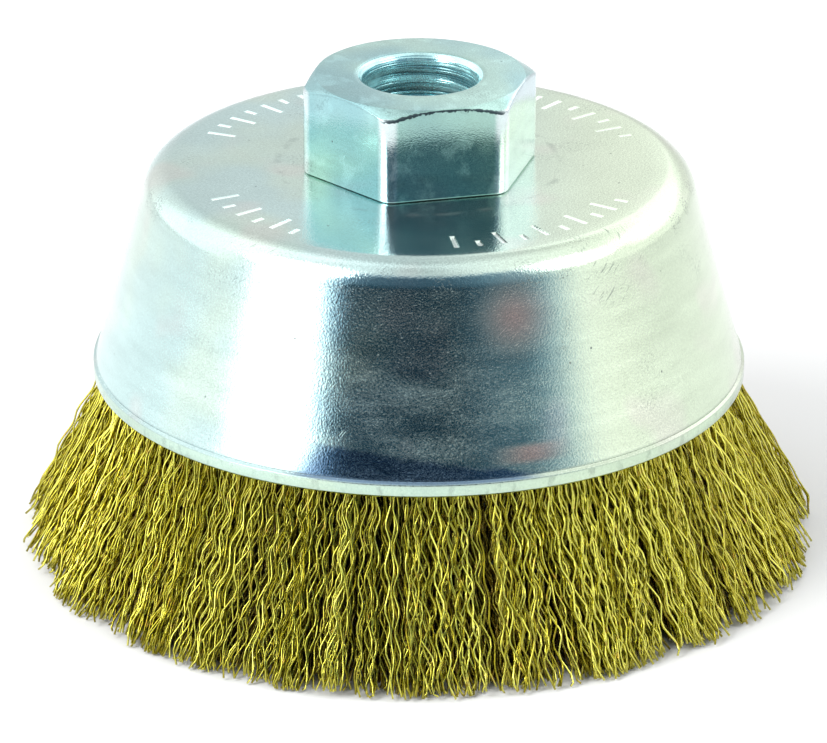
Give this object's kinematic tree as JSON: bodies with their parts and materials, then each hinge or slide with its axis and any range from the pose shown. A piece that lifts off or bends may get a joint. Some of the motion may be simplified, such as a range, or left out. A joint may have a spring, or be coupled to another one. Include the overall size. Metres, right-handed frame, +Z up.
{
  "type": "wire cup brush",
  "caption": "Cup brush for an angle grinder: a drawn steel cup with a threaded hex nut on top and a flared skirt of crimped brass-coated wire below.",
  "frame": {"origin": "on the spindle axis, in the plane of the wire tips that the brush stands on", "axes": "+Z up along the spindle axis, from the wire tips to the nut; X points at an upright corner of the nut"},
  "size_m": [0.0936, 0.0928, 0.0564],
  "materials": {
    "nut_steel": "bright zinc plate, turned and milled",
    "cup_steel": "bright zinc plate on drawn sheet, fine scratches",
    "inner_cup_steel": "dull zinc plate",
    "ring_steel": "plain drawn wire",
    "wire": "thin brass coat on crimped steel wire"
  },
  "bodies": {
    "root": {"hex_nut": "nut_steel", "inner_cup": "inner_cup_steel", "outer_cup": "cup_steel", "retaining_ring": "ring_steel", "wire_tuft_01": "wire", "wire_tuft_02": "wire", "wire_tuft_03": "wire", "wire_tuft_04": "wire", "wire_tuft_05": "wire", "wire_tuft_06": "wire", "wire_tuft_07": "wire", "wire_tuft_08": "wire", "wire_tuft_09": "wire", "wire_tuft_10": "wire", "wire_tuft_11": "wire", "wire_tuft_12": "wire", "wire_tuft_13": "wire", "wire_tuft_14": "wire", "wire_tuft_15": "wire", "wire_tuft_16": "wire", "wire_tuft_17": "wire", "wire_tuft_18": "wire", "wire_tuft_19": "wire", "wire_tuft_20": "wire", "wire_tuft_21": "wire", "wire_tuft_22": "wire", "wire_tuft_23": "wire", "wire_tuft_24": "wire", "wire_tuft_25": "wire", "wire_tuft_26": "wire", "wire_tuft_27": "wire", "wire_tuft_28": "wire", "wire_tuft_29": "wire", "wire_tuft_30": "wire"}
  },
  "joints": []
}
